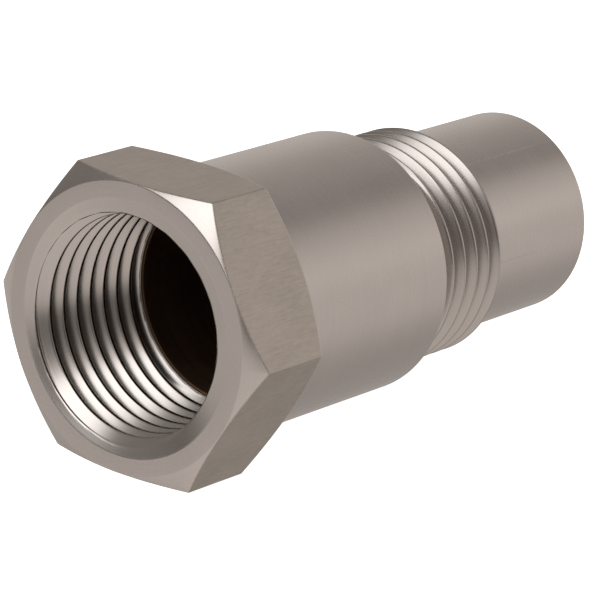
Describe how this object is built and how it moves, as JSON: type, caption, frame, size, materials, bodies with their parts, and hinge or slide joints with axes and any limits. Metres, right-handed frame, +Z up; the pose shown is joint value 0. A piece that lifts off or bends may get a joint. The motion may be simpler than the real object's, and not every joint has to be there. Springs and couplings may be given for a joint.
{
  "type": "sensor spacer",
  "caption": "Threaded sensor spacer: hexagon head with a threaded socket, round body, threaded plug end and a long plain nose holding a wound-foil catalyst.",
  "frame": {"origin": "centre of the hexagon's front face, on the axis, where the sensor's gasket seats", "axes": "+X along the axis from the socket's mouth to the nose, +Y across two of the hexagon's corners, +Z up, square to a hexagon flat"},
  "size_m": [0.047, 0.0254, 0.022],
  "materials": {
    "turned_steel": "satin turned stainless steel",
    "mantle_steel": "rolled stainless sheet, lightly heat tinted",
    "coated_foil": "steel foil under a matt mineral washcoat",
    "spring_wire": "drawn stainless spring wire"
  },
  "bodies": {
    "root": {"housing": "turned_steel", "catalyst_mantle": "mantle_steel", "flat_foil": "coated_foil", "corrugated_foil": "coated_foil", "retaining_ring": "spring_wire"}
  },
  "joints": []
}
